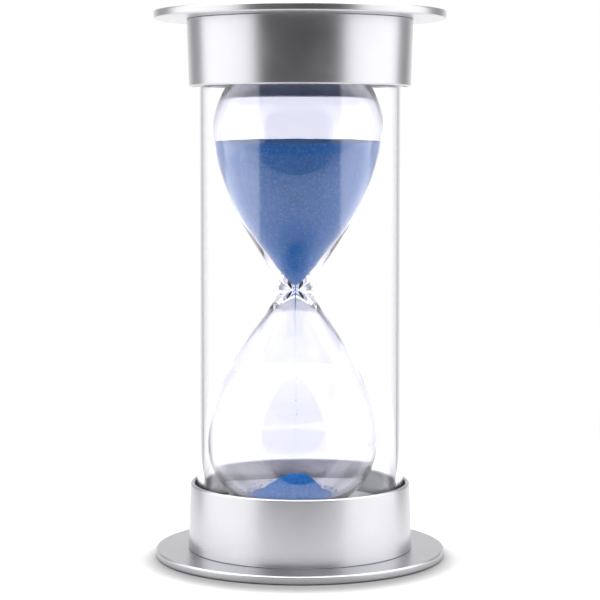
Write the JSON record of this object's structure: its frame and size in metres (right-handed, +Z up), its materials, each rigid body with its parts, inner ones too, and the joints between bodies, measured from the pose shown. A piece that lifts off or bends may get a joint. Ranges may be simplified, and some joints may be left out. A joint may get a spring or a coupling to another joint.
{
  "type": "hourglass",
  "caption": "Metal-ended hourglass: a waisted glass bulb of blue sand stands in a clear tube closed at each end by a flanged aluminium cap. It stands on either end.",
  "frame": {"origin": "centre of the flat face that the timer stands on", "axes": "+Z up along the timer's axis, towards the end that holds most of the sand; +X to the right and -Y towards a viewer in front"},
  "size_m": [0.07, 0.07, 0.1314],
  "materials": {
    "cap_metal": "satin",
    "seat_plastic": "satin",
    "fastener_steel": "satin",
    "gasket_rubber": "matte",
    "cushion_foam": "matte",
    "tube_glass": "polished",
    "bulb_glass": "polished",
    "stopper_rubber": "matte",
    "blue_sand": "matte"
  },
  "bodies": {
    "root": {"bottom_end_plate": "cap_metal", "top_end_plate": "cap_metal", "bottom_collar": "cap_metal", "top_collar": "cap_metal", "bottom_tube_seat": "seat_plastic", "top_tube_seat": "seat_plastic", "bottom_washer": "fastener_steel", "top_washer": "fastener_steel", "bottom_nut": "fastener_steel", "top_nut": "fastener_steel", "bottom_tube_gasket": "gasket_rubber", "top_tube_gasket": "gasket_rubber", "bottom_bulb_cushion": "cushion_foam", "top_bulb_cushion": "cushion_foam", "outer_tube": "tube_glass", "glass_bulb": "bulb_glass", "fill_plug": "stopper_rubber", "upper_sand": "blue_sand", "lower_sand": "blue_sand", "sand_stream": "blue_sand"}
  },
  "joints": []
}
